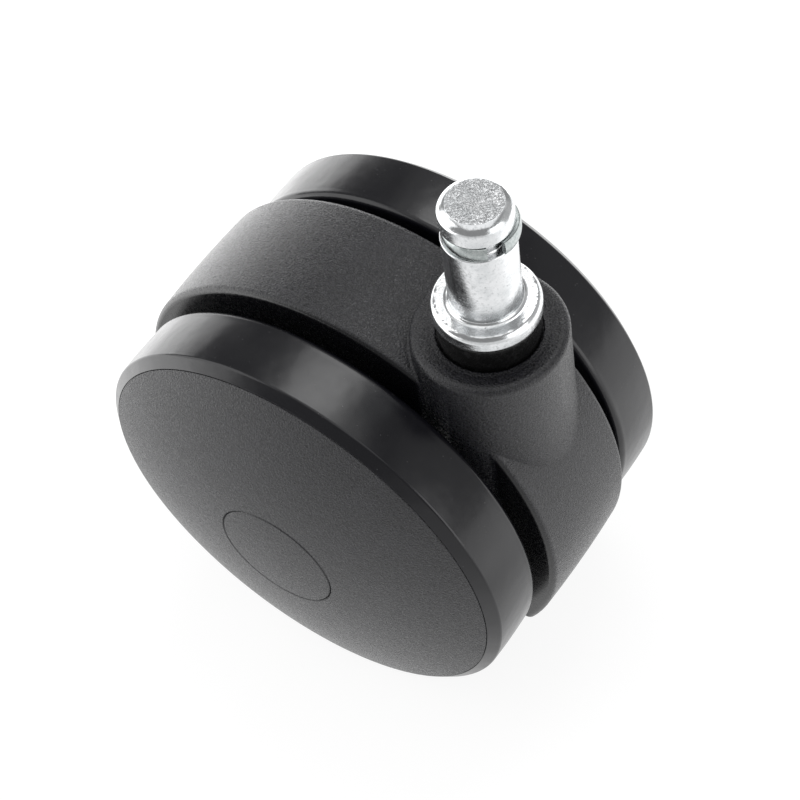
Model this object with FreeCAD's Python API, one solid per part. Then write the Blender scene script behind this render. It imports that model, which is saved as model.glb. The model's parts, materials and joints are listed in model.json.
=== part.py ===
"""Twin-wheel chair caster with a plug-in grip-ring stem.

Frame: the origin is on the stem's axis at the flange's upper face, where the
chair base seats. +Z runs up the stem, +X points the way the caster travels, so
the axle trails behind at -X, and +Y is the left wheel's side. All in millimetres.
"""
import FreeCAD, Part
import math
import os

Vector = FreeCAD.Vector

# Driving dimensions.
SHANK_R = 5.5               # the 11 mm stem
STEM_ABOVE = 20.7           # flange seat to the top of the stem
TRAIL = 24.45               # stem axis back to the axle
AXLE_DROP = 48.2            # flange seat down to the axle
WHEEL_R = 38.2              # middle of the tread
WHEEL_INNER = 13.4          # middle plane to a wheel's inner side
SEAM_R = 36.3               # joint line between tyre and cover
SEAM_OUT = 25.1             # the same joint line's distance from the middle plane
COVER_OUT = 31.7            # middle plane to the centre of a cover's dome
HOOD_R = 40.25              # hood, over the tread
HOOD_HALF = 10.85           # half of the hood's width
BOSS_R = 12.05              # stem boss at its top
BOSS_TOP = -7.5             # height of the ridge round the boss's top
AXLE_R = 4.0
RUNNING = 0.05              # radial clearance of a turning fit
PRESSED = 0.02              # radial gap left between pressed-together pieces
END_PLAY = 0.15             # axial gap between a turning and a fixed piece
MERGE = 0.5                 # how far the walls of one moulding run into each other

# Stem.
HEAD_TOP_R = 4.25
HEAD_SHOULDER = STEM_ABOVE - 1.37
EDGE_BREAK = 0.15           # small rounding on turned edges
RING_GROOVE_R = 4.3
RING_GROOVE_TOP = 16.85
RING_GROOVE_BOTTOM = 14.1
SHANK_FILLET = 0.75
FLANGE_TOP_R = 7.95
FLANGE_BOTTOM_R = 8.28
FLANGE_THICK = 2.92
FLANGE_BOTTOM_ROUND = 0.3
JOURNAL_R = 4.9
JOURNAL_END = -33.6
JOURNAL_DOME = 1.2
SNAP_GROOVE_R = 4.1
SNAP_GROOVE_TOP = -24.3
SNAP_GROOVE_BOTTOM = -25.3
SNAP_OUTER_R = 6.8
SNAP_PLAY = 0.1
SNAP_GAP_ANGLE = 180.0

# Grip ring, a split spring ring that hangs off centre in its groove.
GRIP_R = 5.75
GRIP_BARREL = 0.22          # how far the ring's outside bulges
GRIP_THICK = 0.9
GRIP_PLAY = 0.1
GRIP_OFFSET = 0.45
GRIP_OFFSET_ANGLE = 34.0
GRIP_GAP_ANGLE = -34.0
GRIP_GAP = 2.8

# Swivel bush and its socket in the housing.
BUSH_R = 7.5
COLLAR_R = 7.9
COLLAR_TOP = -FLANGE_THICK - END_PLAY
COLLAR_SEAT = BOSS_TOP - 1.0
SLEEVE_BOTTOM = -23.9
RECESS_R = COLLAR_R + 0.1
SOCKET_FLOOR = -35.2
THRUST_THICK = 1.45
THRUST_PLAY = 0.2
SOCKET_MOUTH_ROUND = 0.3
COLLAR_ROUND = 0.45
SLEEVE_LEAD = 0.5

# Housing.
HOOD_CROWN = 0.3
HOOD_EDGE = 1.0
HOOD_WALL = 2.4
SIDE_WALL = 2.0
HOOD_BELOW_AXLE = 20.0
BOSS_ROUND = 1.1
BOSS_DISH = 0.3             # how far the boss's top sinks inside its ridge
BOSS_DISH_R = 9.0
BOSS_RIDGE_R = 10.9
BOSS_RIDGE_ROUND = 1.2
BOSS_RIM_DROP = 0.2         # how far the top falls again outside the ridge
DISH_FLOOR = BOSS_TOP - BOSS_DISH
SOCKET_FLOOR_THICK = 2.5
BOSS_BOTTOM = SOCKET_FLOOR - SOCKET_FLOOR_THICK
BOSS_BOTTOM_R = 12.35
BOSS_BOTTOM_ROUND = 1.0
BOSS_FOOT_FILLET = 0.4
WEB_THICK = 3.0
WEB_BELOW_AXLE = 15.0
RIB_THICK = 1.8
RIB_AHEAD_OF_AXLE = (-26.0, -16.0, 27.0)
RIB_BELOW_AXLE = 11.0
TUBE_R = 7.5
TUBE_HALF = 12.8

# Axle and what is threaded on it.
AXLE_HALF = 27.0
AXLE_CHAMFER = 0.6
WASHER_R = 7.0
WASHER_IN = TUBE_HALF + RUNNING
WASHER_OUT = 13.65
CLIP_R = 6.4
CLIP_BORE_R = 3.4
CLIP_IN = 25.55
CLIP_THICK = 0.8
CLIP_GROOVE_PLAY = 0.05
CLIP_GAP_ANGLE = 90.0
CLIP_OPENING = 70.0         # degrees of every retaining ring left open

# Wheels; distances from the middle plane grow outwards.
RIM_OUTER = 34.5
RIM_INNER = 31.5
RIM_OUT = SEAM_OUT - 0.05   # just short of the cover's seat
DISC_IN = 14.6
DISC_OUT = 16.8
HUB_R = 8.5
HUB_IN = 14.4
HUB_OUT = CLIP_IN - END_PLAY
HUB_RIBS = 8
HUB_RIB_THICK = 1.6
HUB_RIB_OUT = 20.6
BUSH_WALL = 1.45
BUSH_FLANGE_R = 6.8
BUSH_IN = WASHER_OUT + END_PLAY
TYRE_INNER_ROUND = 1.2
TREAD_EDGE_R = 38.1
BAND_CORNER_OUT = 23.6      # where the tread's line meets the sloping band round its outer side
BAND_ROUND = 0.8
COVER_THICK = 2.2
COVER_LIP = 0.1             # hairline gap between cover and tyre
SEAM_GROOVE = 0.35          # how deep that joint line runs in
SKIRT_OUTER = RIM_INNER - RUNNING
SKIRT_WALL = 1.8
SKIRT_IN = 21.0
CAP_R = 10.6
CAP_SEAM = 0.16
CAP_THICK = 1.3
CAP_PLAY = 0.1
SEAT_THICK = 1.3
CAP_PLUG_R = 8.7
CAP_PLUG_WALL = 1.2
CAP_PLUG_DEPTH = 3.4

AXLE_CENTRE = Vector(-TRAIL, 0, -AXLE_DROP)
UP = Vector(0, 0, 1)
LEFT = Vector(0, 1, 0)


# ---- Outlines and turned shapes ----

def rounded_corner(before, corner, after, radius):
    """Points that round off a corner between two lines: start, middle and end of the arc."""
    back = (before - corner).normalize()
    ahead = (after - corner).normalize()
    half_angle = back.getAngle(ahead) / 2
    cut = radius / math.tan(half_angle)
    bisector = (back + ahead).normalize()
    centre = corner + bisector * (radius / math.sin(half_angle))
    return corner + back * cut, centre - bisector * radius, corner + ahead * cut


def outline_face(corners, place):
    """A flat face from corners (a, b), rounded corners (a, b, radius) and arcs ("via", a, b)."""
    ends = [place(*c[:2]) for c in corners if c[0] != "via"]
    stations = []
    middles = {}
    for item in corners:
        if item[0] == "via":
            middles[len(stations)] = place(item[1], item[2])
            continue
        at = len(stations)
        if len(item) == 3:
            stations.append(rounded_corner(ends[at - 1], ends[at], ends[(at + 1) % len(ends)], item[2]))
        else:
            stations.append((ends[at],))
    edges = []
    for at, station in enumerate(stations):
        if len(station) == 3:
            edges.append(Part.Arc(*station).toShape())
        following = stations[(at + 1) % len(stations)]
        if at + 1 in middles:
            edges.append(Part.Arc(station[-1], middles[at + 1], following[0]).toShape())
        else:
            edges.append(Part.LineSegment(station[-1], following[0]).toShape())
    return Part.Face(Part.Wire(edges))


def turned_on_stem(*corners):
    """A solid of revolution about the stem's axis, from (radius, height) corners."""
    return outline_face(corners, lambda radius, height: Vector(radius, 0, height)).revolve(Vector(), UP, 360)


def turned_on_axle(*corners):
    """A solid of revolution about the axle, from (radius, distance to the left) corners."""
    face = outline_face(corners, lambda radius, left: AXLE_CENTRE + Vector(radius, left, 0))
    return face.revolve(AXLE_CENTRE, LEFT, 360)


def ring_on_axle(inner, outer, start, end):
    return turned_on_axle((inner, start), (outer, start), (outer, end), (inner, end))


def bulge(first, last, sag):
    """An arc's middle point, out from the middle of two (a, b) points by sag along a."""
    return ("via", (first[0] + last[0]) / 2 + sag, (first[1] + last[1]) / 2)


def quarter(first, last, corner):
    """The middle point of a quarter round from one (a, b) point to another, inside their corner."""
    share = 1 - math.sqrt(0.5)
    return ("via", corner[0] + share * (first[0] + last[0] - 2 * corner[0]),
            corner[1] + share * (first[1] + last[1] - 2 * corner[1]))


def ball_radius(edge_r, drop):
    """Radius of the sphere whose cap is edge_r wide and drop high."""
    return (edge_r ** 2 + drop ** 2) / (2 * drop)


def ball_drop(ball_r, radius):
    """How far a sphere has fallen away from its pole, at a distance from the pole's axis."""
    return ball_r - math.sqrt(ball_r ** 2 - radius ** 2)


# ---- Stem, fixed in the chair base ----

def stem():
    head_edge = (HEAD_TOP_R, STEM_ABOVE)
    shoulder = (SHANK_R, HEAD_SHOULDER)
    journal_edge = (JOURNAL_R, JOURNAL_END + JOURNAL_DOME)
    middle_r = JOURNAL_R / 2
    dome_middle = (middle_r, JOURNAL_END + ball_drop(ball_radius(JOURNAL_R, JOURNAL_DOME), middle_r))
    return turned_on_stem(
        (0, STEM_ABOVE), head_edge, quarter(head_edge, shoulder, (SHANK_R, STEM_ABOVE)), shoulder,
        (SHANK_R, RING_GROOVE_TOP, EDGE_BREAK),
        (RING_GROOVE_R, RING_GROOVE_TOP), (RING_GROOVE_R, RING_GROOVE_BOTTOM),
        (SHANK_R, RING_GROOVE_BOTTOM, EDGE_BREAK), (SHANK_R, 0, SHANK_FILLET),
        (FLANGE_TOP_R, 0, EDGE_BREAK), (FLANGE_BOTTOM_R, -FLANGE_THICK, FLANGE_BOTTOM_ROUND),
        (JOURNAL_R, -FLANGE_THICK), (JOURNAL_R, SNAP_GROOVE_TOP),
        (SNAP_GROOVE_R, SNAP_GROOVE_TOP), (SNAP_GROOVE_R, SNAP_GROOVE_BOTTOM),
        (JOURNAL_R, SNAP_GROOVE_BOTTOM), journal_edge, ("via", *dome_middle), (0, JOURNAL_END),
    )


def split(ring, axis, gap_angle, opening):
    """Cut the gap out of a ring; the angles are in degrees, counted from +X about the axis."""
    reach = ring.BoundBox.DiagonalLength
    zero = Vector(1, 0, 0)
    side = axis.cross(zero)
    tip = ring.BoundBox.Center - axis * reach
    corners = [tip]
    for angle in (gap_angle - opening / 2, gap_angle, gap_angle + opening / 2):
        turn = math.radians(angle)
        corners.append(tip + (zero * math.cos(turn) + side * math.sin(turn)) * reach)
    gap = Part.Face(Part.makePolygon(corners + [tip])).extrude(axis * (2 * reach))
    return ring.cut(gap)


def grip_ring():
    """The split ring, built on the stem's axis and then hung off centre."""
    bottom = RING_GROOVE_BOTTOM + GRIP_PLAY
    top = RING_GROOVE_TOP - GRIP_PLAY
    edge_r = GRIP_R - GRIP_BARREL
    bore_r = GRIP_R - GRIP_THICK
    ring = turned_on_stem(
        (bore_r, bottom, EDGE_BREAK), (edge_r, bottom),
        bulge((edge_r, bottom), (edge_r, top), GRIP_BARREL),
        (edge_r, top), (bore_r, top, EDGE_BREAK),
    )
    ring = split(ring, UP, GRIP_GAP_ANGLE, math.degrees(GRIP_GAP / GRIP_R))
    turn = math.radians(GRIP_OFFSET_ANGLE)
    ring.translate(Vector(math.cos(turn), math.sin(turn), 0) * GRIP_OFFSET)
    return ring


def stem_snap_ring():
    """Keeps the stem from pulling up through the swivel bush."""
    top = SNAP_GROOVE_TOP - SNAP_PLAY
    bottom = SNAP_GROOVE_BOTTOM + SNAP_PLAY
    bore_r = SNAP_GROOVE_R + RUNNING
    ring = turned_on_stem((bore_r, bottom), (SNAP_OUTER_R, bottom), (SNAP_OUTER_R, top), (bore_r, top))
    return split(ring, UP, SNAP_GAP_ANGLE, CLIP_OPENING)


# ---- Housing, which swivels about the stem ----

def drum(radius, crown, half):
    """A solid drum about the axle whose rim bulges by the crown."""
    edge_r = radius - crown
    return turned_on_axle((0, -half), (edge_r, -half), ("via", radius, 0), (edge_r, half), (0, half))


def is_circle(edge, radius):
    """True for a circle of this radius."""
    return isinstance(edge.Curve, Part.Circle) and abs(edge.Curve.Radius - radius) < 1e-4


def hood():
    """The arched shell between the wheels: a drum cut off level below the axle, hollow and open below."""
    solid = drum(HOOD_R, HOOD_CROWN, HOOD_HALF)
    rims = [edge for edge in solid.Edges if is_circle(edge, HOOD_R - HOOD_CROWN)]
    solid = solid.makeFillet(HOOD_EDGE, rims)
    hollow = drum(HOOD_R - HOOD_WALL, HOOD_CROWN, HOOD_HALF - SIDE_WALL)
    return solid.cut(hollow).common(space_above(-HOOD_BELOW_AXLE))


def space_above(height_over_axle):
    """Everything near the part above a level, for trimming."""
    size = 4 * HOOD_R
    corner = AXLE_CENTRE + Vector(-size / 2, -size / 2, height_over_axle)
    return Part.makeBox(size, size, size, corner)


def stem_boss():
    return turned_on_stem(
        (0, DISH_FLOOR), (BOSS_DISH_R, DISH_FLOOR), (BOSS_RIDGE_R, BOSS_TOP, BOSS_RIDGE_ROUND),
        (BOSS_R, BOSS_TOP - BOSS_RIM_DROP, BOSS_ROUND),
        (BOSS_BOTTOM_R, BOSS_BOTTOM, BOSS_BOTTOM_ROUND), (0, BOSS_BOTTOM),
    )


def stem_socket():
    """The stepped bore for the swivel bush, thrust disc and stem, with a rounded mouth."""
    above = BOSS_TOP + 1.0
    bore_r = BUSH_R + PRESSED
    mouth = (RECESS_R + SOCKET_MOUTH_ROUND, DISH_FLOOR)
    throat = (RECESS_R, DISH_FLOOR - SOCKET_MOUTH_ROUND)
    return turned_on_stem(
        (0, above), (mouth[0], above), mouth, quarter(mouth, throat, (RECESS_R, DISH_FLOOR)), throat,
        (RECESS_R, COLLAR_SEAT), (bore_r, COLLAR_SEAT), (bore_r, SOCKET_FLOOR), (0, SOCKET_FLOOR),
    )


def distance_to_axle(point):
    return math.hypot(point.x - AXLE_CENTRE.x, point.z - AXLE_CENTRE.z)


def is_boss_foot(edge):
    """True for an edge where the boss's side meets the outside of the hood."""
    span = edge.LastParameter - edge.FirstParameter
    points = [edge.valueAt(edge.FirstParameter + span * part) for part in (0.1, 0.5, 0.9)]
    slope = (BOSS_BOTTOM_R - BOSS_R) / (BOSS_TOP - BOSS_BOTTOM)
    on_boss = all(abs(math.hypot(p.x, p.y) - BOSS_R - slope * (BOSS_TOP - p.z)) < 0.02 for p in points)
    return on_boss and all(HOOD_R - HOOD_WALL < distance_to_axle(p) < HOOD_R + 0.1 for p in points)


def cross_rib(ahead_of_axle):
    """An upright rib across the hollow, from one side wall to the other."""
    half = HOOD_HALF - SIDE_WALL + MERGE
    corner = Vector(ahead_of_axle - RIB_THICK / 2, -half, -RIB_BELOW_AXLE)
    rib = Part.makeBox(RIB_THICK, 2 * half, 2 * HOOD_R, AXLE_CENTRE + corner)
    return rib.common(drum(HOOD_R - HOOD_WALL + MERGE, HOOD_CROWN, half))


def housing():
    """Hood, boss, axle tube and ribs moulded in one piece, with the socket and the axle bore."""
    shell = hood().fuse(stem_boss()).removeSplitter()
    shell = shell.makeFillet(BOSS_FOOT_FILLET, [edge for edge in shell.Edges if is_boss_foot(edge)])
    web = ring_on_axle(0, HOOD_R - HOOD_WALL + MERGE, -WEB_THICK / 2, WEB_THICK / 2)
    web = web.common(space_above(-WEB_BELOW_AXLE))
    tube = ring_on_axle(0, TUBE_R, -TUBE_HALF, TUBE_HALF)
    ribs = [cross_rib(place) for place in RIB_AHEAD_OF_AXLE]
    body = shell.fuse([web, tube] + ribs).removeSplitter()
    axle_bore = ring_on_axle(0, AXLE_R + PRESSED, -2 * TUBE_HALF, 2 * TUBE_HALF)
    return body.cut(stem_socket()).cut(axle_bore)


def swivel_bush():
    sleeve_bore = JOURNAL_R + RUNNING
    return turned_on_stem(
        (sleeve_bore, COLLAR_TOP, EDGE_BREAK), (COLLAR_R, COLLAR_TOP, COLLAR_ROUND),
        (COLLAR_R, COLLAR_SEAT), (BUSH_R, COLLAR_SEAT),
        (BUSH_R, SLEEVE_BOTTOM, SLEEVE_LEAD), (sleeve_bore, SLEEVE_BOTTOM),
    )


def thrust_disc():
    """The wear disc under the stem's domed end."""
    radius = BUSH_R - THRUST_PLAY
    top = SOCKET_FLOOR + THRUST_THICK
    return turned_on_stem(
        (0, SOCKET_FLOOR), (radius, SOCKET_FLOOR, EDGE_BREAK), (radius, top, EDGE_BREAK), (0, top),
    )


# ---- Axle ----

def axle():
    groove_start = CLIP_IN - CLIP_GROOVE_PLAY
    groove_end = CLIP_IN + CLIP_THICK + CLIP_GROOVE_PLAY
    groove_r = CLIP_BORE_R - PRESSED
    rod = turned_on_axle(
        (0, -AXLE_HALF), (AXLE_R - AXLE_CHAMFER, -AXLE_HALF), (AXLE_R, AXLE_CHAMFER - AXLE_HALF),
        (AXLE_R, AXLE_HALF - AXLE_CHAMFER), (AXLE_R - AXLE_CHAMFER, AXLE_HALF), (0, AXLE_HALF),
    )
    groove = ring_on_axle(groove_r, AXLE_R + 1, groove_start, groove_end)
    return rod.cut(groove).cut(mirrored(groove))


def axle_washer():
    return ring_on_axle(AXLE_R + RUNNING, WASHER_R, WASHER_IN, WASHER_OUT)


def axle_clip():
    """A split retaining ring in the axle's groove."""
    ring = ring_on_axle(CLIP_BORE_R, CLIP_R, CLIP_IN, CLIP_IN + CLIP_THICK)
    return split(ring, LEFT, CLIP_GAP_ANGLE, CLIP_OPENING)


# ---- One wheel, built on the left side ----

def hub_rib():
    """One rib from the hub to the rim, along +X."""
    length = RIM_INNER - HUB_R + 2 * MERGE
    corner = Vector(HUB_R - MERGE, DISC_IN, -HUB_RIB_THICK / 2)
    return Part.makeBox(length, HUB_RIB_OUT - DISC_IN, HUB_RIB_THICK, AXLE_CENTRE + corner)


def wheel_core():
    """Rim, disc, hub and ribs, moulded in one piece and open towards the cover."""
    rim = ring_on_axle(RIM_INNER, RIM_OUTER, WHEEL_INNER, RIM_OUT)
    disc = ring_on_axle(HUB_R - MERGE, RIM_INNER + MERGE, DISC_IN, DISC_OUT)
    hub = ring_on_axle(AXLE_R + RUNNING + BUSH_WALL + PRESSED, HUB_R, HUB_IN, HUB_OUT)
    ribs = []
    for number in range(HUB_RIBS):
        rib = hub_rib()
        rib.rotate(AXLE_CENTRE, LEFT, number * 360 / HUB_RIBS)
        ribs.append(rib)
    return rim.fuse([disc, hub] + ribs).removeSplitter()


def hub_bush():
    bore = AXLE_R + RUNNING
    outer = bore + BUSH_WALL
    return turned_on_axle(
        (bore, BUSH_IN), (BUSH_FLANGE_R, BUSH_IN), (BUSH_FLANGE_R, HUB_IN - PRESSED),
        (outer, HUB_IN - PRESSED), (outer, HUB_OUT), (bore, HUB_OUT),
    )


def dome_radius():
    """Radius of the sphere through the cover's centre and its outer edge."""
    return ball_radius(SEAM_R, COVER_OUT - SEAM_OUT)


def dome_out(radius, inset=0.0):
    """Distance of the cover's domed surface from the middle plane, at a radius."""
    return COVER_OUT - inset - ball_drop(dome_radius() - inset, radius)


def tyre():
    """The tread ring, with a sloping band between its outer edge and the cover's joint line."""
    inner_edge = (TREAD_EDGE_R - TYRE_INNER_ROUND, WHEEL_INNER)
    tread_start = (TREAD_EDGE_R, WHEEL_INNER + TYRE_INNER_ROUND)
    tread_end = (TREAD_EDGE_R, BAND_CORNER_OUT, BAND_ROUND)
    bore = RIM_OUTER + PRESSED
    cover_seat = SEAM_OUT - COVER_LIP
    return turned_on_axle(
        (bore, WHEEL_INNER), inner_edge,
        quarter(inner_edge, tread_start, (TREAD_EDGE_R, WHEEL_INNER)), tread_start,
        bulge(tread_start, tread_end, WHEEL_R - TREAD_EDGE_R), tread_end,
        (SEAM_R, SEAM_OUT), (SEAM_R - SEAM_GROOVE, cover_seat), (bore, cover_seat),
    )


def wheel_cover():
    """The domed outer disc, with a snap skirt inside the rim and a seat for the hub cap."""
    edge_r = SEAM_R - COVER_LIP
    hole_r = CAP_PLUG_R + CAP_PLAY
    seat = dome_out(CAP_R) - CAP_THICK - CAP_PLAY
    seat_back = seat - SEAT_THICK
    skirt_inner = SKIRT_OUTER - SKIRT_WALL
    outside = SEAM_R * 2 / 3
    inside = SEAM_R * 3 / 5
    return turned_on_axle(
        (hole_r, seat), (CAP_R, seat), (CAP_R, dome_out(CAP_R) - EDGE_BREAK),
        (CAP_R + EDGE_BREAK, dome_out(CAP_R + EDGE_BREAK)), ("via", outside, dome_out(outside)),
        (edge_r - EDGE_BREAK, dome_out(edge_r - EDGE_BREAK)), (edge_r, SEAM_OUT + COVER_LIP),
        (edge_r - SEAM_GROOVE, SEAM_OUT), (SKIRT_OUTER, SEAM_OUT),
        (SKIRT_OUTER, SKIRT_IN), (skirt_inner, SKIRT_IN),
        (skirt_inner, dome_out(skirt_inner, COVER_THICK)), ("via", inside, dome_out(inside, COVER_THICK)),
        (CAP_R + 1, seat_back), (hole_r, seat_back),
    )


def hub_cap():
    """The small plug disc in the middle of a cover, split from it by a fine joint line."""
    edge_r = CAP_R - CAP_SEAM
    break_r = edge_r - EDGE_BREAK
    underside = dome_out(CAP_R) - CAP_THICK
    plug_end = underside - CAP_PLUG_DEPTH
    plug_inner = CAP_PLUG_R - CAP_PLUG_WALL
    return turned_on_axle(
        (0, COVER_OUT), ("via", break_r / 2, dome_out(break_r / 2)), (break_r, dome_out(break_r)),
        (edge_r, dome_out(edge_r) - EDGE_BREAK), (edge_r, underside),
        (CAP_PLUG_R, underside), (CAP_PLUG_R, plug_end), (plug_inner, plug_end),
        (plug_inner, underside), (0, underside),
    )


def mirrored(shape):
    """The same piece on the right wheel's side."""
    return shape.mirror(Vector(), LEFT)


# ---- Writing the pieces ----

MIDDLE_PIECES = {
    "stem": stem,
    "stem_snap_ring": stem_snap_ring,
    "grip_ring": grip_ring,
    "housing": housing,
    "swivel_bush": swivel_bush,
    "thrust_disc": thrust_disc,
    "axle": axle,
}

SIDE_PIECES = {
    "axle_washer": axle_washer,
    "axle_clip": axle_clip,
    "wheel_core": wheel_core,
    "tyre": tyre,
    "wheel_cover": wheel_cover,
    "hub_cap": hub_cap,
    "hub_bush": hub_bush,
}


def write(name, shape):
    solids = shape.Solids
    if len(solids) != 1 or not shape.isValid():
        raise ValueError(name + " is not one valid solid")
    solids[0].exportStep("parts/" + name + ".step")
    print(name, round(solids[0].Volume, 1), "mm3")


os.makedirs("parts", exist_ok=True)
for name, make in MIDDLE_PIECES.items():
    write(name, make())
for name, make in SIDE_PIECES.items():
    piece = make()
    write("left_" + name, piece)
    write("right_" + name, mirrored(piece))
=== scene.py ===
import json
import math

import bmesh
import bpy
from mathutils import Matrix, Vector, noise


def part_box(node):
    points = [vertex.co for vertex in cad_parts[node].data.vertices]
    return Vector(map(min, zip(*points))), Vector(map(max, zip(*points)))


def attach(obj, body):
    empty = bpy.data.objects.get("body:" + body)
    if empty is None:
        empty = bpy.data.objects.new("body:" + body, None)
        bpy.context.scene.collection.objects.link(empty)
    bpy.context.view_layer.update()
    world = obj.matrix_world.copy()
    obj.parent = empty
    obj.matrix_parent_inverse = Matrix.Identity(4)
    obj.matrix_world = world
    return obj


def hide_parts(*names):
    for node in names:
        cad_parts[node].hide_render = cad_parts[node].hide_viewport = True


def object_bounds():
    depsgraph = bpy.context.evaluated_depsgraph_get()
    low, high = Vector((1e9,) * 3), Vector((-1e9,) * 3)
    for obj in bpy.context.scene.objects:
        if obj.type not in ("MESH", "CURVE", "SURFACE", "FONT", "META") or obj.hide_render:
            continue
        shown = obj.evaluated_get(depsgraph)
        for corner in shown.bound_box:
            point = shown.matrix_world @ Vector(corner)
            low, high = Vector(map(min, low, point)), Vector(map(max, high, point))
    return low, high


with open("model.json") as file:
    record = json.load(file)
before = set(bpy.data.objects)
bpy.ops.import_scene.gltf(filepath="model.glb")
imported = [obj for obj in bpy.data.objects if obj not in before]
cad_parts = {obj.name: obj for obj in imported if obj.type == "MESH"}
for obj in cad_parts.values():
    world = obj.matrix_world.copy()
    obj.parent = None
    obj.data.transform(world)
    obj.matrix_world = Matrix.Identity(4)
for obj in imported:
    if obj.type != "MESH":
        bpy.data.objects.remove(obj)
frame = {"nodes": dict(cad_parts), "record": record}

MM = 0.001
cad_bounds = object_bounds()
SIDES = {"left": 1, "right": -1}


# ---------------------------------------------------------------- places read from the frame

def centre(node):
    low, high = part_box(node)
    return (low + high) / 2


def top_of(node):
    """A node's greatest height above the flange seat, in millimetres."""
    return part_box(node)[1].z / MM


def bottom_of(node):
    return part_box(node)[0].z / MM


def inner_of(node):
    """A left wheel piece's least distance from the middle plane, in millimetres."""
    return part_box(node)[0].y / MM


def outer_of(node):
    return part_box(node)[1].y / MM


def radius_of(node):
    low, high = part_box(node)
    return (high.z - low.z) / 2 / MM


AXLE = centre("axle")


# ---------------------------------------------------------------- camera

AIM = AXLE + Vector((0.9, 3.8, 1.6)) * MM
VIEW_AZIMUTH = math.radians(42.12)
VIEW_ELEVATION = math.radians(53.54)
VIEW_ROLL = math.radians(10.23)
VIEW_DISTANCE = 360.8 * MM
LENS = 96.9
SENSOR_WIDTH = 36
NEAREST_SEEN = 0.01         # metres


def make_camera():
    """A camera that looks down on the caster's right front, leaning to one side."""
    level = math.cos(VIEW_ELEVATION)
    back = Vector((math.sin(VIEW_AZIMUTH) * level, -math.cos(VIEW_AZIMUTH) * level, math.sin(VIEW_ELEVATION)))
    level_right = Vector((math.cos(VIEW_AZIMUTH), math.sin(VIEW_AZIMUTH), 0))
    level_up = back.cross(level_right)
    right = level_right * math.cos(VIEW_ROLL) - level_up * math.sin(VIEW_ROLL)
    up = back.cross(right)
    camera = bpy.data.objects.new("camera", bpy.data.cameras.new("camera"))
    camera.data.lens = LENS
    camera.data.sensor_width = SENSOR_WIDTH
    camera.data.clip_start = NEAREST_SEEN
    camera.matrix_world = Matrix.Translation(AIM + back * VIEW_DISTANCE) @ Matrix(
        (right, up, back)).transposed().to_4x4()
    bpy.context.scene.collection.objects.link(camera)
    bpy.context.scene.camera = camera


make_camera()


# ---------------------------------------------------------------- outlines, in millimetres

ARC_STEP = 0.12             # longest step along a rounded corner
ARC_TURN = math.radians(9)  # largest turn between two points of a rounded corner
HOLD = 0.06                 # how close to a corner a straight run gets its first point


def corner_arc(before, corner, after, radius):
    """Points of the arc that rounds a corner between two straight runs."""
    back = (before - corner).normalized()
    ahead = (after - corner).normalized()
    half = back.angle(ahead) / 2
    middle = corner + (back + ahead).normalized() * (radius / math.sin(half))
    spoke = corner + back * (radius / math.tan(half)) - middle
    sweep = math.pi - 2 * half
    way = 1 if back.x * ahead.y - back.y * ahead.x < 0 else -1
    steps = max(2, math.ceil(sweep * radius / ARC_STEP), math.ceil(sweep / ARC_TURN))
    points = []
    for step in range(steps + 1):
        turned_spoke = spoke.copy()
        turned_spoke.rotate(Matrix.Rotation(way * sweep * step / steps, 2))
        points.append(middle + turned_spoke)
    return points


def run_points(start, end, spacing):
    """Points between two others: one close to each end, and more between them at the spacing."""
    length = (end - start).length
    if length < 4 * HOLD:
        return []
    count = max(1, math.ceil((length - 2 * HOLD) / spacing))
    shares = [(HOLD + (length - 2 * HOLD) * step / count) / length for step in range(count + 1)]
    return [start.lerp(end, share) for share in shares]


def outline(corners, spacing=2.0, closed=True):
    """Fills in a run of (radius, along) or (radius, along, rounding) corners."""
    places = [Vector(c[:2]) for c in corners]
    stations = []
    for at, corner in enumerate(corners):
        if len(corner) == 3:
            stations.append(corner_arc(places[at - 1], places[at], places[(at + 1) % len(places)], corner[2]))
        else:
            stations.append([places[at]])
    points = []
    for at, station in enumerate(stations):
        points += station
        if closed or at + 1 < len(stations):
            points += run_points(station[-1], stations[(at + 1) % len(stations)][0], spacing)
    return points


def curve_points(height_at, start, end, spacing):
    """(radius, along) corners along a curve whose height is a function of the radius."""
    count = max(2, math.ceil(abs(end - start) / spacing))
    radii = [start + (end - start) * step / count for step in range(count + 1)]
    return [(radius, height_at(radius)) for radius in radii]


# ---------------------------------------------------------------- turned pieces

SHARP = math.radians(32)    # edges that turn by more than this are shaded sharp
AXIS_EPSILON = 1e-6         # a point nearer to the axis than this lies on it


def on_stem(radius, along, angle):
    return Vector((radius * math.cos(angle), radius * math.sin(angle), along)) * MM


def on_axle(side):
    def place(radius, along, angle):
        return AXLE + Vector((radius * math.cos(angle), side * along, radius * math.sin(angle))) * MM
    return place


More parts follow.
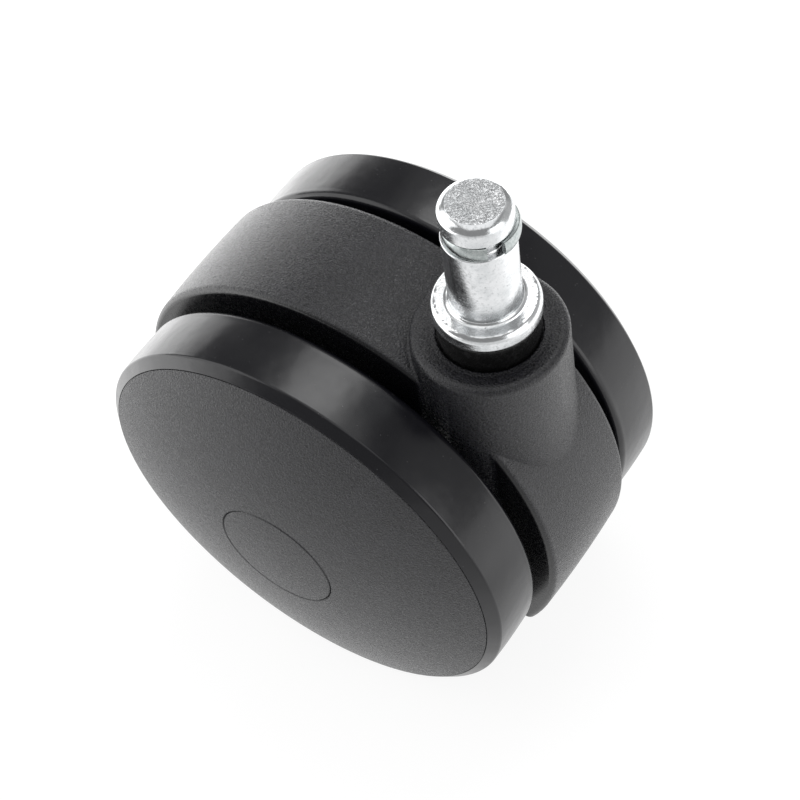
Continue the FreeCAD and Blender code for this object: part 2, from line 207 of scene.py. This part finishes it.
def turned(name, points, place, steps, start=0.0, sweep=math.tau, shape=None):
    """A closed solid turned from an outline; shape moves each (radius, along, angle) a little."""
    whole = math.isclose(sweep, math.tau)
    turns = steps if whole else steps + 1
    mesh = bmesh.new()
    rings = []
    for point in points:
        if point.x < AXIS_EPSILON:
            rings.append([mesh.verts.new(place(0, point.y, 0))] * turns)
            continue
        ring = []
        for step in range(turns):
            angle = start + sweep * step / steps
            radius, along = shape(point.x, point.y, angle) if shape else (point.x, point.y)
            ring.append(mesh.verts.new(place(radius, along, angle)))
        rings.append(ring)
    for this, following in zip(rings, rings[1:] + rings[:1]):
        for step in range(steps):
            after = (step + 1) % turns
            corners = [this[step], this[after], following[after], following[step]]
            corners = [c for at, c in enumerate(corners) if c not in corners[:at]]
            if len(corners) > 2:
                mesh.faces.new(corners)
    if not whole:
        mesh.faces.new([ring[0] for ring in rings])
        mesh.faces.new([ring[-1] for ring in rings])
    bmesh.ops.recalc_face_normals(mesh, faces=mesh.faces)
    data = bpy.data.meshes.new(name)
    mesh.to_mesh(data)
    mesh.free()
    data.shade_smooth()
    data.set_sharp_from_angle(angle=SHARP)
    piece = bpy.data.objects.new(name, data)
    bpy.context.scene.collection.objects.link(piece)
    return piece


def stand_for(piece, node, body, material):
    """Puts a piece in place of a CAD node, on the node's body."""
    piece.data.materials.append(material)
    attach(piece, body)
    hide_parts(node)
    return piece


# ---------------------------------------------------------------- material recipes

def scaled(colour, share):
    return tuple(channel * share for channel in colour)


# A colour Mix node's own sockets, by number because several share a name.
MIX_SHARE = 0
MIX_FIRST = 6
MIX_SECOND = 7
MIX_RESULT = 2


class Recipe:
    """A material's node tree, with short ways to add and join its nodes."""

    def __init__(self, name, roughness, metallic=0.0, specular=0.5):
        self.material = bpy.data.materials.new(name)
        self.material.use_nodes = True
        self.tree = self.material.node_tree
        self.shader = self.tree.nodes["Principled BSDF"]
        self.shader.inputs["Roughness"].default_value = roughness
        self.shader.inputs["Metallic"].default_value = metallic
        self.shader.inputs["Specular IOR Level"].default_value = specular
        self.place = self.add("ShaderNodeTexCoord").outputs["Object"]

    def add(self, kind, settings=None, **values):
        node = self.tree.nodes.new(kind)
        for key, value in (settings or {}).items():
            setattr(node, key, value)
        for key, value in values.items():
            self.feed(node.inputs[key.replace("_", " ")], value)
        return node

    def feed(self, socket, value):
        if isinstance(value, bpy.types.NodeSocket):
            self.tree.links.new(value, socket)
        else:
            socket.default_value = value

    def noise(self, size, detail=2.0, rough=0.5):
        """Noise whose grains are size millimetres across."""
        node = self.add("ShaderNodeTexNoise", Vector=self.place, Scale=1 / (size * MM), Detail=detail,
                        Roughness=rough)
        return node.outputs["Fac"]

    def cells(self, size):
        """Distance to the nearest of a scatter of points about size millimetres apart."""
        node = self.add("ShaderNodeTexVoronoi", Vector=self.place, Scale=1 / (size * MM))
        return node.outputs["Distance"]

    def between(self, value, low, high, start=0.0, end=1.0):
        """Start where value is low, end where it is high, and smooth between."""
        node = self.add("ShaderNodeMapRange", {"interpolation_type": "SMOOTHSTEP"})
        for key, number in zip(("Value", "From Min", "From Max", "To Min", "To Max"),
                               (value, low, high, start, end)):
            self.feed(node.inputs[key], number)
        return node.outputs["Result"]

    def maths(self, operation, first, second=0.0):
        node = self.add("ShaderNodeMath", {"operation": operation})
        self.feed(node.inputs[0], first)
        self.feed(node.inputs[1], second)
        return node.outputs[0]

    def blend(self, share, first, second):
        """A colour between two others."""
        node = self.add("ShaderNodeMix", {"data_type": "RGBA"})
        self.feed(node.inputs[MIX_SHARE], share)
        for number, colour in ((MIX_FIRST, first), (MIX_SECOND, second)):
            joined = isinstance(colour, bpy.types.NodeSocket)
            self.feed(node.inputs[number], colour if joined else (*colour, 1))
        return node.outputs[MIX_RESULT]

    def bump(self, height, depth, below=None):
        """Bumps of depth millimetres, on top of those below."""
        node = self.add("ShaderNodeBump", Height=height, Distance=depth * MM)
        if below is not None:
            self.feed(node.inputs["Normal"], below)
        return node.outputs["Normal"]

    def edges(self, low, high):
        """Where the mesh is convex, as worn edges are."""
        return self.between(self.add("ShaderNodeNewGeometry").outputs["Pointiness"], low, high)

    def finish(self, colour, roughness=None, normal=None):
        self.feed(self.shader.inputs["Base Color"], colour)
        if roughness is not None:
            self.feed(self.shader.inputs["Roughness"], roughness)
        if normal is not None:
            self.feed(self.shader.inputs["Normal"], normal)
        return self.material


HOOD_SIDE = 10.7            # just inside the hood's flat sides
BOSS_R = 12.4               # just outside the stem boss
SIDE_FADE = 0.4             # how far the grain takes to fade out beside them
PATCH_LIFT = 1.25           # colour of the broad patches, as a share of the grain's light colour
PAINTED_GLINT_LIFT = 3.0            # and that of the painted glints, painted highlights on the tips of the grain
WORN_NYLON = (0.11, 0.11, 0.112)


def shaded_hood_sides(paint):
    """1 on the hood's flat sides, away from the stem boss, and 0 elsewhere: where shade is painted for the
    narrow gap beside the wheels.
    """
    parted = paint.add("ShaderNodeSeparateXYZ", Vector=paint.place).outputs
    across = paint.maths("ABSOLUTE", parted["Y"])
    from_stem = paint.maths("SQRT", paint.maths("ADD", paint.maths("POWER", parted["X"], 2.0),
                                                paint.maths("POWER", across, 2.0)))
    past_boss = paint.between(from_stem, BOSS_R * MM, (BOSS_R + SIDE_FADE) * MM)
    beside = paint.between(across, (HOOD_SIDE - SIDE_FADE) * MM, HOOD_SIDE * MM)
    return paint.maths("MULTIPLY", past_boss, beside)


def grained_nylon(name, dark, light, grain, depth, smooth, rough, specular=0.5, plain_and_shaded_at=None):
    """Black moulded nylon with a fine spark-eroded grain and painted glints; where the given mask is 1, the
    grain is left out and the colour painted dark as shade.
    """
    paint = Recipe(name, rough, specular=specular)
    pebbles = paint.noise(grain, 2.0, 0.6)
    fine = paint.noise(grain * 0.45, 1.0)
    height = paint.maths("ADD", paint.between(pebbles, 0.32, 0.68), paint.maths("MULTIPLY", fine, 0.5))
    patches = paint.noise(9, 3.0)
    colour = paint.blend(paint.between(pebbles, 0.38, 0.66), dark, light)
    colour = paint.blend(paint.between(patches, 0.42, 0.75, 0.0, 0.3), colour, scaled(light, PATCH_LIFT))
    # painted highlights: bright specks in the colour where the grain's tips would catch the light
    painted_glints = paint.between(paint.noise(grain * 0.7, 1.0), 0.62, 0.74)
    colour = paint.blend(paint.maths("MULTIPLY", painted_glints, 0.7), colour, scaled(light, PAINTED_GLINT_LIFT))
    worn = paint.maths("MULTIPLY", paint.edges(0.53, 0.60), paint.between(paint.noise(1.5, 3.0), 0.35, 0.7))
    colour = paint.blend(paint.maths("MULTIPLY", worn, 0.35), colour, WORN_NYLON)
    roughness = paint.between(paint.noise(grain * 1.7, 2.0), 0.3, 0.7, smooth, rough)
    # painted shade: where the mask says (the hood's flat sides, in the narrow gap beside the wheels), the
    # grain is left out and the colour set to the dark one
    if plain_and_shaded_at is not None:
        plain = plain_and_shaded_at(paint)
        height = paint.maths("MULTIPLY", height, paint.maths("SUBTRACT", 1.0, plain))
        colour = paint.blend(plain, colour, dark)
    return paint.finish(colour, roughness, paint.bump(height, depth))


def tread_rubber():
    """Smooth, slightly wavy semi-gloss tread with rubbed patches and dust specks."""
    paint = Recipe("tread", 0.3)
    haze = paint.noise(11, 3.0)
    rubbed = paint.noise(1.6, 4.0, 0.6)
    scattered = paint.between(paint.noise(2.6, 2.0), 0.50, 0.62)
    specks = paint.maths("MULTIPLY", paint.between(paint.cells(0.8), 0.13, 0.06), scattered)
    colour = paint.blend(paint.between(haze, 0.4, 0.75), (0.004, 0.004, 0.006), (0.006, 0.006, 0.008))
    colour = paint.blend(paint.maths("MULTIPLY", specks, 0.6), colour, (0.10, 0.10, 0.10))
    worn = paint.maths("MULTIPLY", paint.edges(0.55, 0.66), paint.between(rubbed, 0.35, 0.65))
    colour = paint.blend(paint.maths("MULTIPLY", worn, 0.2), colour, (0.08, 0.075, 0.07))
    roughness = paint.maths("ADD", paint.between(rubbed, 0.3, 0.75, 0.20, 0.24),
                            paint.between(haze, 0.4, 0.8, 0.0, 0.05))
    waves = paint.bump(paint.noise(7, 2.0), 0.12)
    return paint.finish(colour, roughness, paint.bump(paint.noise(0.3, 2.0), 0.003, waves))


CLEAN_ZINC = (0.80, 0.81, 0.82)
SMUDGED_ZINC = (0.68, 0.70, 0.71)
FLECKED_ZINC = (0.48, 0.50, 0.51)
PITTED_ZINC = (0.20, 0.20, 0.20)
TOOL_RING_PITCH = 0.9


def zinc_plate(name, shade, low, high, ripple):
    """Bright zinc over turned steel, with faint tool rings, smudges and small pits."""
    paint = Recipe(name, low, metallic=1.0)
    smudges = paint.noise(3.2, 4.0, 0.6)
    flecks = paint.noise(0.45, 3.0, 0.6)
    pits = paint.maths("MULTIPLY", paint.between(paint.cells(1.1), 0.12, 0.05),
                       paint.between(paint.noise(2.0), 0.5, 0.6))
    colour = paint.blend(paint.between(smudges, 0.35, 0.7), scaled(CLEAN_ZINC, shade),
                         scaled(SMUDGED_ZINC, shade))
    colour = paint.blend(paint.between(flecks, 0.52, 0.75, 0.0, 0.6), colour, scaled(FLECKED_ZINC, shade))
    colour = paint.blend(paint.maths("MULTIPLY", pits, 0.7), colour, PITTED_ZINC)
    roughness = paint.maths("ADD", paint.between(smudges, 0.3, 0.7, low, high),
                            paint.between(flecks, 0.4, 0.8, 0.0, 0.12))
    rings = paint.add("ShaderNodeTexWave", {"bands_direction": "Z"}, Vector=paint.place,
                      Scale=1 / (TOOL_RING_PITCH * MM), Distortion=1.5, Detail=2.0)
    normal = paint.bump(rings.outputs["Fac"], 0.0012)
    normal = paint.bump(flecks, ripple, normal)
    normal = paint.bump(pits, -0.02, normal)
    return paint.finish(colour, roughness, normal)


def spring_steel():
    """Greenish grey spring steel, tumbled smooth."""
    paint = Recipe("spring_steel", 0.3, metallic=1.0)
    grain = paint.noise(0.5, 3.0)
    colour = paint.blend(paint.between(grain, 0.35, 0.7), (0.36, 0.395, 0.39), (0.50, 0.53, 0.525))
    roughness = paint.between(paint.noise(1.2, 2.0), 0.35, 0.7, 0.22, 0.34)
    return paint.finish(colour, roughness, paint.bump(grain, 0.003))


def gloss_acetal():
    """Smooth black bearing plastic with light rubbing marks."""
    paint = Recipe("acetal", 0.25, specular=0.35)
    marks = paint.noise(0.8, 4.0, 0.6)
    colour = paint.blend(paint.between(marks, 0.55, 0.75), (0.003, 0.003, 0.003), (0.012, 0.012, 0.013))
    roughness = paint.between(marks, 0.35, 0.7, 0.2, 0.34)
    return paint.finish(colour, roughness, paint.bump(marks, 0.03))


def plain_nylon():
    """Moulded nylon inside the wheels, satin and ungrained."""
    paint = Recipe("core_nylon", 0.45)
    flow = paint.noise(5, 4.0, 0.6)
    colour = paint.blend(paint.between(flow, 0.35, 0.7), (0.012, 0.012, 0.013), (0.028, 0.028, 0.03))
    roughness = paint.between(flow, 0.3, 0.7, 0.38, 0.5)
    return paint.finish(colour, roughness, paint.bump(paint.noise(0.6, 2.0), 0.01))


# the housing's flat sides get painted shade: dark and ungrained
HOUSING_NYLON = grained_nylon("housing_nylon", dark=(0.003, 0.003, 0.004), light=(0.016, 0.016, 0.020),
                              grain=0.30, depth=0.050, smooth=0.22, rough=0.32, plain_and_shaded_at=shaded_hood_sides)
COVER_NYLON = grained_nylon("cover_nylon", dark=(0.004, 0.004, 0.005), light=(0.019, 0.019, 0.023),
                            grain=0.28, depth=0.048, smooth=0.24, rough=0.33, specular=0.40)
TREAD = tread_rubber()
ZINC = zinc_plate("zinc", shade=1.0, low=0.12, high=0.22, ripple=0.014)
SHEARED_ZINC = zinc_plate("sheared_zinc", shade=0.72, low=0.36, high=0.46, ripple=0.03)
SPRING = spring_steel()
ACETAL = gloss_acetal()
CORE = plain_nylon()


# ---------------------------------------------------------------- stem

STEM_STEPS = 288
STEM_TOP = top_of("stem")
STEM_END = bottom_of("stem")
HEAD_TOP_R = 4.25
HEAD_DROP = 1.37
BEVEL_TURN = math.radians(52)       # how far the polished bevel round the head curves over
GROOVE_R = 4.3
GROOVE_TOP = 16.85
GROOVE_BOTTOM = 14.1
GROOVE_ROUND = 0.4
GROOVE_LIPS = (0.3, 0.2)            # rounding of the groove's upper and lower edges
SHANK_R = frame["record"]["mounts"][0]["dims"]["r_mm"]
SHANK_FILLET = 0.75
FLANGE_TOP_R = 7.6
FLANGE_R = 8.28
FLANGE_THICK = 2.92
FLANGE_UNDER_ROUND = 0.35
FLANGE_SHOULDER = 1.15      # how far down the flange's edge curves before it is upright
FLANGE_TURN = math.radians(52)
JOURNAL_R = 4.9
JOURNAL_DOME = 1.2
SNAP_GROOVE_R = 4.1
SNAP_GROOVE = (-24.3, -25.3)
FACE_DEPTH = 0.11           # how rough the sheared end is
FACE_FADE = 0.08            # how far inside its edge the roughness is at its full depth
FACE_LIP = 0.05             # how far the sheared end stands above the bevel round it
FACE_LEDGE = 0.02           # how much wider the bevel starts than the sheared end
FACE_STEP = 0.11            # spacing of the sheared end's points
FACE_BAND = 0.01            # points this near the stem's top are on the sheared end
SHEARED_BAND = 0.3          # and faces this near it have the sheared metal's look
FOOT_STEP = 0.4
BURR = 0.10                 # how far the flange's edge is nicked
NICK_REACH = 0.24           # how far from the edge a nick reaches
NICK_SEED = 1.7
NICK_HOLDS = (0.5, 0.25)    # points inside the flange's edge that keep the nicks off its flat top


def sheared(radius, angle):
    """Height of the torn metal on the stem's end."""
    at = Vector((radius * math.cos(angle), radius * math.sin(angle), 0))
    torn = noise.fractal(at * 1.1 + Vector((7, 3, 0)), 0.8, 2.1, 3)
    grain = noise.fractal(at * 4.2, 0.7, 2.0, 3)
    fade = min(1.0, (HEAD_TOP_R - radius) / FACE_FADE)
    return FACE_DEPTH * fade * (0.8 * torn + 0.9 * grain)


def nicked(angle):
    """How badly the flange's edge is bruised, round the rim; 0 where it isn't."""
    at = Vector((math.cos(angle), math.sin(angle), NICK_SEED)) * 7
    return max(0.0, noise.noise(at * 3) * 0.9 + noise.noise(at) * 0.9)


def arc_between(start, end, turn):
    """(radius, along) corners on an arc that leaves a straight line between two points by half its turn."""
    start = Vector(start)
    chord = Vector(end) - start
    radius = chord.length / (2 * math.sin(turn / 2))
    outward = Vector((-chord.y, chord.x)).normalized()
    middle = start + chord / 2 - outward * radius * math.cos(turn / 2)
    count = max(4, math.ceil(turn / ARC_TURN * 2))
    points = []
    for step in range(count + 1):
        spoke = start - middle
        spoke.rotate(Matrix.Rotation(-turn * step / count, 2))
        points.append(tuple(middle + spoke))
    return points


def stem_shape(radius, along, angle):
    """Roughens the sheared end, and nicks the flange's upper edge."""
    if along > STEM_TOP - FACE_BAND and radius < HEAD_TOP_R:
        return radius, along + sheared(radius, angle)
    rim = (abs(radius - FLANGE_TOP_R) + abs(along)) / NICK_REACH
    if rim < 1:
        dent = BURR * nicked(angle) * (1 - rim)
        return radius - dent, along - dent
    return radius, along


def foot_height(radius):
    """The stem's domed lower end, part of a ball."""
    ball_r = (JOURNAL_R ** 2 + JOURNAL_DOME ** 2) / (2 * JOURNAL_DOME)
    return STEM_END + ball_r - math.sqrt(ball_r ** 2 - radius ** 2)


def make_stem():
    head = curve_points(lambda radius: STEM_TOP, 0, HEAD_TOP_R, FACE_STEP)
    bevel = arc_between((HEAD_TOP_R + FACE_LEDGE, STEM_TOP - FACE_LIP), (SHANK_R, STEM_TOP - HEAD_DROP),
                        BEVEL_TURN)
    groove = [
        (SHANK_R, GROOVE_TOP, GROOVE_LIPS[0]), (GROOVE_R, GROOVE_TOP, GROOVE_ROUND),
        (GROOVE_R, GROOVE_BOTTOM, GROOVE_ROUND), (SHANK_R, GROOVE_BOTTOM, GROOVE_LIPS[1])]
    seat = [(SHANK_R, 0, SHANK_FILLET)] + [(FLANGE_TOP_R - hold, 0) for hold in NICK_HOLDS]
    shoulder = arc_between((FLANGE_TOP_R, 0), (FLANGE_R, -FLANGE_SHOULDER), FLANGE_TURN)
    under = [(FLANGE_R, -FLANGE_THICK, FLANGE_UNDER_ROUND), (JOURNAL_R, -FLANGE_THICK)]
    snap_groove = [
        (JOURNAL_R, SNAP_GROOVE[0]), (SNAP_GROOVE_R, SNAP_GROOVE[0]),
        (SNAP_GROOVE_R, SNAP_GROOVE[1]), (JOURNAL_R, SNAP_GROOVE[1])]
    foot = curve_points(foot_height, JOURNAL_R, 0, FOOT_STEP)
    corners = head + bevel + groove + seat + shoulder + under + snap_groove + foot
    stem = turned("stem_pin", outline(corners, 1.5, closed=False), on_stem, STEM_STEPS, shape=stem_shape)
    stand_for(stem, "stem", "stem", ZINC)
    stem.data.materials.append(SHEARED_ZINC)
    for face in stem.data.polygons:
        middle = face.center / MM
        if middle.z > STEM_TOP - SHEARED_BAND and math.hypot(middle.x, middle.y) < HEAD_TOP_R:
            face.material_index = 1


make_stem()

# ---------------------------------------------------------------- grip ring

GRIP_R = 5.75
GRIP_THICK = 0.9
GRIP_BARREL = 0.22          # how far the outside bulges
BARREL_STEPS = 8            # points of the bulge on each side of its middle
BARREL_SHARE = 0.94         # how much of the ring's height it takes up
GRIP_BEVEL = 0.12
GRIP_ROUND = 0.15
GRIP_STEPS = 160
GRIP_GAP = 2.8
GRIP_GAP_ANGLE = math.radians(-34)


def make_grip_ring():
    """A split ring with a barrelled outside, where it hangs in its groove."""
    low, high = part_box("grip_ring")
    middle = (low + high) / 2
    bottom = low.z / MM
    top = high.z / MM
    half = (top - bottom) / 2
    barrel = [(GRIP_R - GRIP_BARREL * (step / BARREL_STEPS) ** 2,
               (top + bottom) / 2 + half * step / BARREL_STEPS * BARREL_SHARE)
              for step in range(-BARREL_STEPS, BARREL_STEPS + 1)]
    edge_r = GRIP_R - GRIP_BARREL - GRIP_BEVEL
    corners = [(GRIP_R - GRIP_THICK, bottom, GRIP_ROUND), (edge_r, bottom)] + barrel + [
        (edge_r, top), (GRIP_R - GRIP_THICK, top, GRIP_ROUND)]
    half_gap = GRIP_GAP / GRIP_R / 2

    def place(radius, along, angle):
        return on_stem(radius, along, angle) + Vector((middle.x, middle.y, 0))

    ring = turned("grip_ring_spring", outline(corners), place, GRIP_STEPS, GRIP_GAP_ANGLE + half_gap,
                  math.tau - 2 * half_gap)
    stand_for(ring, "grip_ring", "grip_ring", SPRING)


make_grip_ring()

# ---------------------------------------------------------------- swivel bush

COLLAR_R = (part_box("swivel_bush")[1].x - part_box("swivel_bush")[0].x) / 2 / MM
RECESS_DEPTH = 0.95         # of the boss's top, where the collar sits
COLLAR_SEAT = top_of("housing") - RECESS_DEPTH
COLLAR_ROUND = 0.45
BUSH_R = 7.5
BUSH_FOOT_ROUND = 0.5
BORE_GAP = 0.05
BORE_ROUND = 0.15
BUSH_STEPS = 192


def make_swivel_bush():
    top = top_of("swivel_bush")
    bottom = bottom_of("swivel_bush")
    bore = JOURNAL_R + BORE_GAP
    corners = [(bore, top, BORE_ROUND), (COLLAR_R, top, COLLAR_ROUND), (COLLAR_R, COLLAR_SEAT),
               (BUSH_R, COLLAR_SEAT), (BUSH_R, bottom, BUSH_FOOT_ROUND), (bore, bottom)]
    bush = turned("bush_collar", outline(corners, 1.0), on_stem, BUSH_STEPS)
    stand_for(bush, "swivel_bush", "housing", ACETAL)


make_swivel_bush()

# ---------------------------------------------------------------- wheels

WHEEL_STEPS = 384
TREAD_R = radius_of("left_tyre")
TREAD_CROWN = 0.1
TREAD_EDGE_R = TREAD_R - TREAD_CROWN
TREAD_POINTS = 16
TYRE_INNER_ROUND = 1.2
WHEEL_INNER = inner_of("left_tyre")
SEAM_OUT = outer_of("left_tyre")
SEAM_R = 36.3
BAND_CORNER_OUT = 23.6
BAND_ROUND = 0.6
BAND_HOLD = 0.35            # how far from its outer corner the tread's last point is
RIM_R = 34.52
DOME_OUT = outer_of("left_hub_cap")
DOME_R = (SEAM_R ** 2 + (DOME_OUT - SEAM_OUT) ** 2) / (2 * (DOME_OUT - SEAM_OUT))
SEAM_GAP = 0.08              # open joint line between the cover and the tyre round it
SEAM_DEPTH = 0.3
SEAM_CLEAR = 0.05            # room behind that line, between the cover's foot and the tyre
EDGE_BREAK = 0.07            # rounding of the edges beside it
CAP_R = 10.6
CAP_SEAM = 0.12              # open joint line round the cap
CAP_THICK = 1.3
CAP_CLEAR = 0.1              # room round the cap's underside and its plug
CAP_LEDGE = 1                # how far the cover's ledge under the cap reaches past it
CAP_LEDGE_THICK = 1.3
SEAM_SETBACK = 0.15          # how far from an edge the dome's last point is, and the cap seam's bevel
COVER_THICK = 2.2
SKIRT_OUTER = 31.45
SKIRT_WALL = 1.8
PLUG_R = 8.7
PLUG_WALL = 1.2


def dome(radius, inset=0.0):
    """Distance of a cover's domed surface from the middle plane."""
    return DOME_OUT - DOME_R + math.sqrt((DOME_R - inset) ** 2 - radius ** 2)


def tread_line(share):
    """A (radius, along) point of the slightly crowned tread, from its inner to its outer edge."""
    start = WHEEL_INNER + TYRE_INNER_ROUND
    end = BAND_CORNER_OUT - BAND_HOLD
    crown = (TREAD_R - TREAD_EDGE_R) * 4 * share * (1 - share)
    return TREAD_EDGE_R + crown, start + (end - start) * share


def tyre_outline():
    tread = [tread_line(step / TREAD_POINTS) for step in range(1, TREAD_POINTS + 1)]
    return outline(
        [(RIM_R, WHEEL_INNER), (TREAD_EDGE_R, WHEEL_INNER, TYRE_INNER_ROUND)] + tread
        + [(TREAD_EDGE_R, BAND_CORNER_OUT, BAND_ROUND), (SEAM_R, SEAM_OUT, EDGE_BREAK),
           (SEAM_R, SEAM_OUT - SEAM_DEPTH), (RIM_R, SEAM_OUT - SEAM_DEPTH)])


def cover_outline():
    edge_r = SEAM_R - SEAM_GAP
    foot = SEAM_OUT - SEAM_DEPTH + SEAM_CLEAR
    foot_r = RIM_R + SEAM_CLEAR
    seat = dome(CAP_R) - CAP_THICK - CAP_CLEAR
    hole_r = PLUG_R + CAP_CLEAR
    ledge_r = CAP_R + CAP_LEDGE
    skirt_inner = SKIRT_OUTER - SKIRT_WALL
    skirt_end = inner_of("left_wheel_cover")
    face = curve_points(dome, CAP_R + SEAM_SETBACK, edge_r - SEAM_SETBACK, 0.8)
    back = curve_points(lambda radius: dome(radius, COVER_THICK), skirt_inner, ledge_r, 1.5)
    return outline(
        [(hole_r, seat), (CAP_R, seat), (CAP_R, dome(CAP_R) - SEAM_SETBACK)] + face
        + [(edge_r, dome(edge_r), EDGE_BREAK), (edge_r, foot), (foot_r, foot), (foot_r, SEAM_OUT),
           (SKIRT_OUTER, SEAM_OUT), (SKIRT_OUTER, skirt_end), (skirt_inner, skirt_end)] + back
        + [(ledge_r, seat - CAP_LEDGE_THICK), (hole_r, seat - CAP_LEDGE_THICK)])


def cap_outline():
    edge_r = CAP_R - CAP_SEAM
    underside = dome(CAP_R) - CAP_THICK
    plug_inner = PLUG_R - PLUG_WALL
    plug_end = inner_of("left_hub_cap")
    face = curve_points(dome, 0, edge_r - SEAM_SETBACK, 0.5)
    return outline(
        face + [(edge_r, dome(edge_r) - SEAM_SETBACK), (edge_r, underside), (PLUG_R, underside),
                (PLUG_R, plug_end), (plug_inner, plug_end), (plug_inner, underside), (0, underside)],
        closed=False)


def make_wheel(side, sign):
    place = on_axle(sign)
    body = side + "_wheel"
    tyre = turned(side + "_tyre_band", tyre_outline(), place, WHEEL_STEPS)
    stand_for(tyre, side + "_tyre", body, TREAD)
    cover = turned(side + "_cover_dome", cover_outline(), place, WHEEL_STEPS)
    stand_for(cover, side + "_wheel_cover", body, COVER_NYLON)
    cap = turned(side + "_cap_plug", cap_outline(), place, WHEEL_STEPS // 2)
    stand_for(cap, side + "_hub_cap", body, COVER_NYLON)


for side, sign in SIDES.items():
    make_wheel(side, sign)

# ---------------------------------------------------------------- pieces that keep their CAD mesh

SLOT_MATERIALS = {
    "zinc_steel": ZINC, "spring_steel": SPRING, "housing_nylon": HOUSING_NYLON, "cover_nylon": COVER_NYLON,
    "core_nylon": CORE, "bush_acetal": ACETAL, "tread": TREAD,
}
for part in frame["record"]["subparts"]:
    data = frame["nodes"][part["node"]].data
    data.materials.clear()
    data.materials.append(SLOT_MATERIALS[part["material_slot"]])


# ---------------------------------------------------------------- floor and light

# Azimuths are turned from the camera's: 0 is towards the camera, 90 to its right, 180 beyond the object.
FLOOR_REACH = 3.0
FLOOR_GLOW = 0.90           # light given off by the floor under and round the object
GLOW_CHANGES = (            # azimuth it lies towards, metres at its start and end, and light added
    (-140, 0.05, 0.14, 1.4),
    (100, 0.06, 0.11, 0.45),
    (0, 0.07, 0.18, -0.3),
)
LIGHT_DISTANCE = 1.5
WORLD_LIGHT = 0.28


def compass(azimuth, elevation=0.0):
    """A direction from the object, with its azimuth turned from the camera's, both in degrees."""
    turn = VIEW_AZIMUTH + math.radians(azimuth)
    rise = math.radians(elevation)
    return Vector((math.sin(turn) * math.cos(rise), -math.cos(turn) * math.cos(rise), math.sin(rise)))


def light_table():
    """The pale floor, lit from below: brighter behind the object and to its sides, dimmer in front."""
    paint = Recipe("light_table", 0.6)

    def metres_towards(azimuth):
        along = paint.add("ShaderNodeVectorMath", {"operation": "DOT_PRODUCT"})
        paint.feed(along.inputs[0], paint.place)
        paint.feed(along.inputs[1], compass(azimuth))
        return paint.maths("SUBTRACT", along.outputs["Value"], compass(azimuth).dot(AXLE))

    glow = FLOOR_GLOW
    for azimuth, start, end, added in GLOW_CHANGES:
        glow = paint.maths("ADD", glow, paint.between(metres_towards(azimuth), start, end, 0.0, added))
    paint.shader.inputs["Emission Color"].default_value = (1, 1, 1, 1)
    paint.feed(paint.shader.inputs["Emission Strength"], glow)
    return paint.finish(paint.blend(paint.noise(30, 3.0), (0.11, 0.11, 0.11), (0.13, 0.13, 0.13)))


def make_floor():
    height = cad_bounds[0].z
    corners = [(x * FLOOR_REACH, y * FLOOR_REACH, height) for x, y in ((-1, -1), (1, -1), (1, 1), (-1, 1))]
    mesh = bpy.data.meshes.new("floor")
    mesh.from_pydata(corners, [], [(0, 1, 2, 3)])
    mesh.materials.append(light_table())
    floor = bpy.data.objects.new("floor", mesh)
    bpy.context.scene.collection.objects.link(floor)


def softbox(name, azimuth, elevation, wide, tall, radiance):
    """A soft panel that faces the axle and fills wide by tall degrees of the view from there."""
    data = bpy.data.lights.new(name, "AREA")
    data.shape = "RECTANGLE"
    data.size = 2 * LIGHT_DISTANCE * math.tan(math.radians(wide / 2))
    data.size_y = 2 * LIGHT_DISTANCE * math.tan(math.radians(tall / 2))
    data.energy = radiance * data.size * data.size_y * math.pi
    light = bpy.data.objects.new(name, data)
    towards = compass(azimuth, elevation)
    light.location = AXLE + towards * LIGHT_DISTANCE
    light.rotation_euler = (-towards).to_track_quat("-Z", "Y").to_euler()
    light.visible_camera = False
    bpy.context.scene.collection.objects.link(light)


def surroundings():
    """An even white glow from everywhere, and colours shown as they are."""
    world = bpy.data.worlds.new("studio")
    world.use_nodes = True
    background = world.node_tree.nodes["Background"]
    background.inputs["Color"].default_value = (1, 1, 1, 1)
    background.inputs["Strength"].default_value = WORLD_LIGHT
    bpy.context.scene.world = world
    bpy.context.scene.view_settings.view_transform = "Standard"


make_floor()
softbox("key", azimuth=156, elevation=66, wide=26, tall=24, radiance=2.8)
softbox("key_halo", azimuth=152, elevation=58, wide=50, tall=40, radiance=0.3)
softbox("ceiling", azimuth=0, elevation=84, wide=60, tall=60, radiance=0.8)
softbox("left_wall", azimuth=-105, elevation=26, wide=48, tall=54, radiance=1.5)
softbox("backdrop_low", azimuth=-175, elevation=6, wide=66, tall=14, radiance=1.75)
softbox("right_front", azimuth=45, elevation=15, wide=40, tall=34, radiance=1.9)
softbox("right_wall", azimuth=95, elevation=22, wide=56, tall=46, radiance=0.2)
surroundings()
